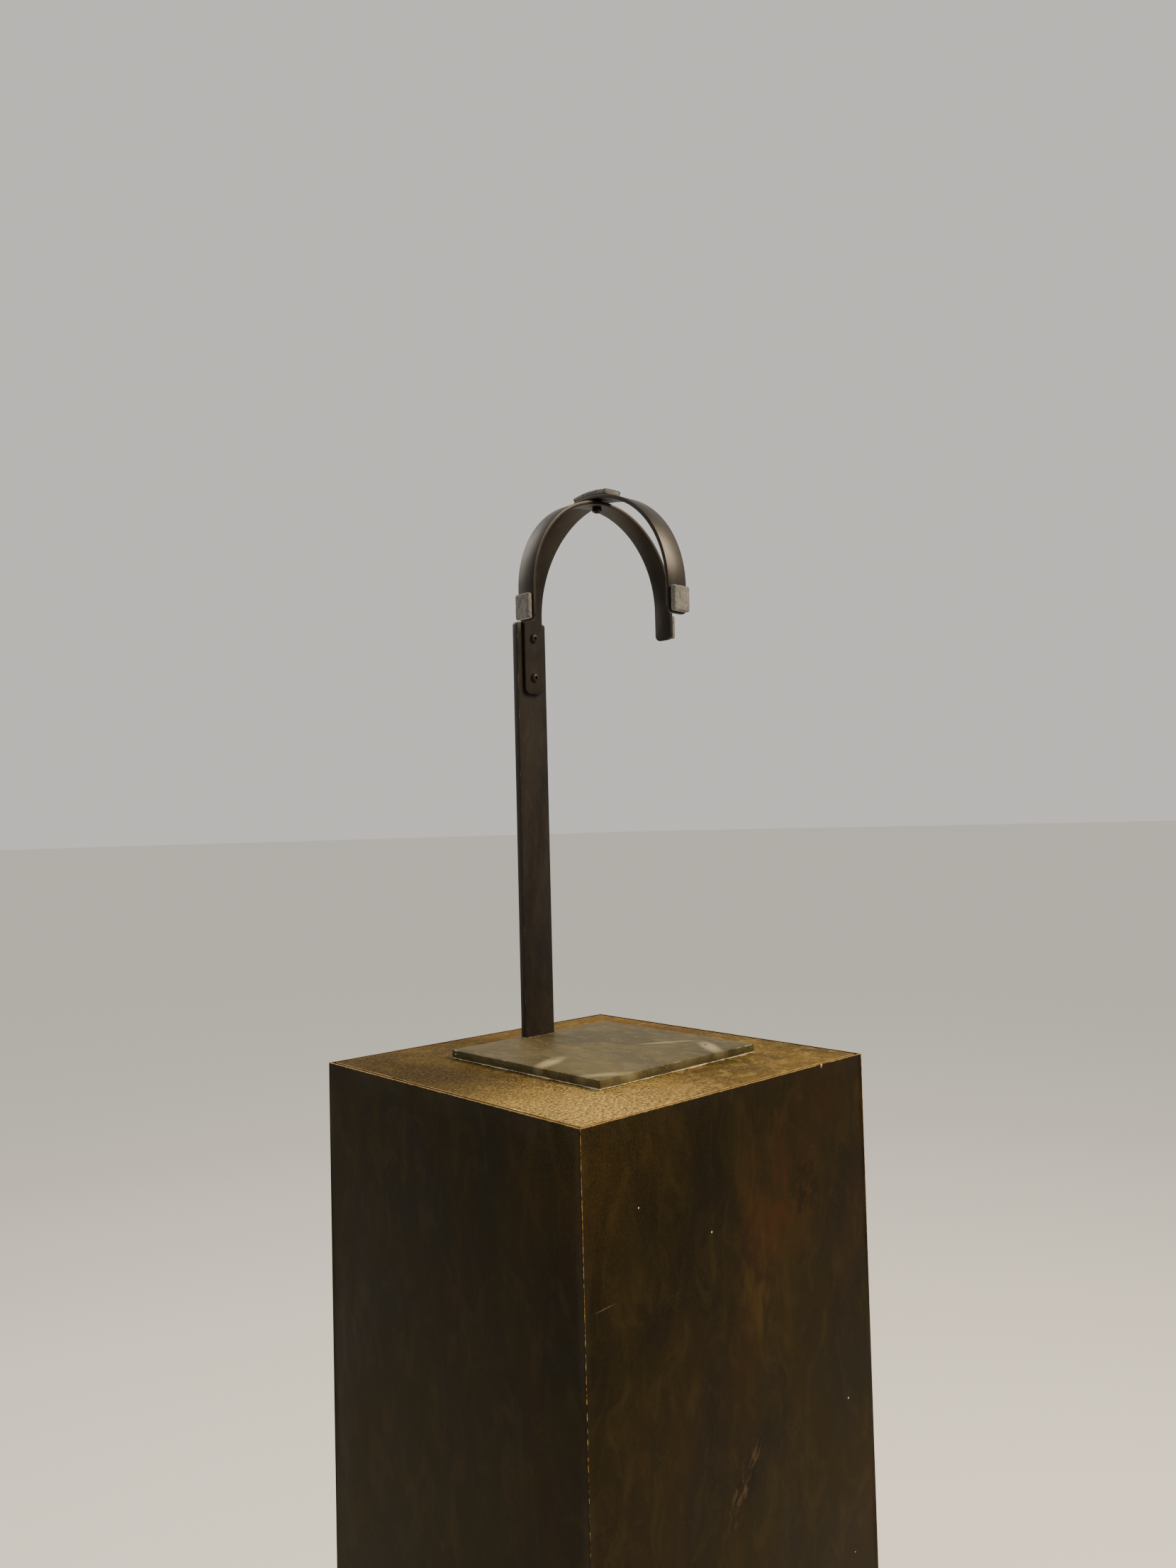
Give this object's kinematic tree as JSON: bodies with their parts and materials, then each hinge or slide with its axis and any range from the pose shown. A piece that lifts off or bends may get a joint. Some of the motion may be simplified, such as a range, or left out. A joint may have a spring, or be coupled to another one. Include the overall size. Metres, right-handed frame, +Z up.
{
  "type": "display plinth",
  "caption": "Tall square display plinth of dark patinated sheet with a lift-out lid that carries a square steel plate, a flat-bar post and a padded strap cradle.",
  "frame": {"origin": "on the floor under the middle of the plinth", "axes": "+Z up; the front faces -Y and the post stands towards +Y"},
  "size_m": [0.3, 0.3, 1.655],
  "materials": {
    "side_patina": "dark brown chemical patina, blotched and streaked, waxed, bright on the arrises",
    "top_patina": "tan bronze patina, worn and dusty",
    "plywood": "birch plywood, unfinished",
    "softwood": "planed softwood, unfinished",
    "zinc_steel": "bright zinc plated steel",
    "ballast_steel": "mill scale, oiled",
    "plate_steel": "grey-olive chemically toned steel, worn edges",
    "black_steel": "blackened and waxed steel bar",
    "braze_metal": "toned silver braze",
    "pad_film": "cream polyester isolating film",
    "grey_felt": "dense grey wool felt",
    "black_nylon": "moulded black nylon"
  },
  "bodies": {
    "carcass": {"skin_front": "side_patina", "skin_back": "side_patina", "skin_left": "side_patina", "skin_right": "side_patina", "wall_front": "plywood", "wall_back": "plywood", "wall_left": "plywood", "wall_right": "plywood", "base_panel": "plywood", "batten_front_left": "softwood", "batten_front_right": "softwood", "batten_back_left": "softwood", "batten_back_right": "softwood", "ledger_front": "softwood", "ledger_back": "softwood", "ledger_left": "softwood", "ledger_right": "softwood", "batten_screws": "zinc_steel", "ledger_screws": "zinc_steel", "foot_inserts": "zinc_steel", "foot_lock_nuts": "zinc_steel", "ballast_rod": "zinc_steel", "ballast_washer": "zinc_steel", "ballast_nut": "zinc_steel", "ballast_plate_1": "ballast_steel", "ballast_plate_2": "ballast_steel", "ballast_plate_3": "ballast_steel", "ballast_plate_4": "ballast_steel"},
    "lid": {"top_sheet": "top_patina", "lid_core": "plywood", "mount_pad": "pad_film", "mount_plate": "plate_steel", "mount_bolts": "zinc_steel", "mount_washers": "zinc_steel", "post": "black_steel", "post_braze": "braze_metal", "cradle_spine": "black_steel", "cradle_crossbar": "black_steel", "post_screws": "black_steel", "post_nuts": "black_steel", "crown_screw": "black_steel", "crown_nut": "black_steel", "crown_spacer": "black_steel", "felt_crown": "grey_felt", "felt_front": "grey_felt", "felt_left": "grey_felt", "felt_right": "grey_felt"},
    "pad_front_left": {"foot_pad_front_left": "black_nylon"},
    "stud_front_left": {"foot_stud_front_left": "zinc_steel"},
    "pad_front_right": {"foot_pad_front_right": "black_nylon"},
    "stud_front_right": {"foot_stud_front_right": "zinc_steel"},
    "pad_back_left": {"foot_pad_back_left": "black_nylon"},
    "stud_back_left": {"foot_stud_back_left": "zinc_steel"},
    "pad_back_right": {"foot_pad_back_right": "black_nylon"},
    "stud_back_right": {"foot_stud_back_right": "zinc_steel"}
  },
  "joints": [
    {"name": "lid_lift", "type": "slide", "parent": "carcass", "child": "lid", "axis": [0, 0, 1], "range_m": [0, 0.15]},
    {"name": "foot_reach_front_left", "type": "slide", "parent": "carcass", "child": "pad_front_left", "axis": [0, 0, -1], "range_m": [0, 0.015]},
    {"name": "foot_screw_front_left", "type": "hinge", "parent": "pad_front_left", "child": "stud_front_left", "pos_m": [-0.0915, -0.0915, 0.03], "axis": [0, 0, -1], "range_deg": [0, 3600]},
    {"name": "foot_reach_front_right", "type": "slide", "parent": "carcass", "child": "pad_front_right", "axis": [0, 0, -1], "range_m": [0, 0.015]},
    {"name": "foot_screw_front_right", "type": "hinge", "parent": "pad_front_right", "child": "stud_front_right", "pos_m": [0.0915, -0.0915, 0.03], "axis": [0, 0, -1], "range_deg": [0, 3600]},
    {"name": "foot_reach_back_left", "type": "slide", "parent": "carcass", "child": "pad_back_left", "axis": [0, 0, -1], "range_m": [0, 0.015]},
    {"name": "foot_screw_back_left", "type": "hinge", "parent": "pad_back_left", "child": "stud_back_left", "pos_m": [-0.0915, 0.0915, 0.03], "axis": [0, 0, -1], "range_deg": [0, 3600]},
    {"name": "foot_reach_back_right", "type": "slide", "parent": "carcass", "child": "pad_back_right", "axis": [0, 0, -1], "range_m": [0, 0.015]},
    {"name": "foot_screw_back_right", "type": "hinge", "parent": "pad_back_right", "child": "stud_back_right", "pos_m": [0.0915, 0.0915, 0.03], "axis": [0, 0, -1], "range_deg": [0, 3600]}
  ],
  "couplings": [
    {"joint": "foot_screw_front_left", "follows": "foot_reach_front_left", "rad_per_m": 4188.8},
    {"joint": "foot_screw_front_right", "follows": "foot_reach_front_right", "rad_per_m": 4188.8},
    {"joint": "foot_screw_back_left", "follows": "foot_reach_back_left", "rad_per_m": 4188.8},
    {"joint": "foot_screw_back_right", "follows": "foot_reach_back_right", "rad_per_m": 4188.8}
  ]
}
